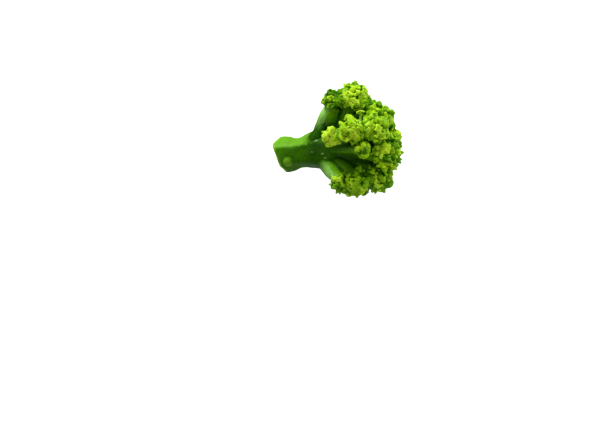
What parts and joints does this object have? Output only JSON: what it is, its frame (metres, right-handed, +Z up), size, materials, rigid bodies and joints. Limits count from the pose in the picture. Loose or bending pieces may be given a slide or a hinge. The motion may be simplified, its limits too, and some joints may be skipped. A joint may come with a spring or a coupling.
{
  "type": "broccoli head",
  "caption": "Small head of broccoli cut with a short stalk, lying on its side: thick branches fan out of the stalk and end in rounded florets packed with buds.",
  "frame": {"origin": "on the surface that the head lies on, under the middle of its bounding box", "axes": "+X from the cut end of the stalk towards the crown, +Z up from the surface"},
  "size_m": [0.0658, 0.0576, 0.0482],
  "materials": {
    "stalk": "waxy, wet",
    "buds": "waxy, fine grained"
  },
  "bodies": {
    "root": {"stalk": "stalk", "floret_apex": "buds", "floret_upper_right": "buds", "floret_near_right": "buds", "floret_band_right": "buds", "floret_band_middle": "buds", "floret_band_left": "buds", "floret_ball": "buds", "floret_top": "buds", "floret_top_left": "buds", "floret_lower_right": "buds", "floret_lower": "buds", "floret_lower_left": "buds", "floret_under_front": "buds", "floret_under_near": "buds", "floret_foot_near": "buds", "floret_foot_far": "buds", "floret_near_back": "buds", "floret_far_side": "buds", "floret_far_back": "buds", "floret_inner": "buds"}
  },
  "joints": []
}
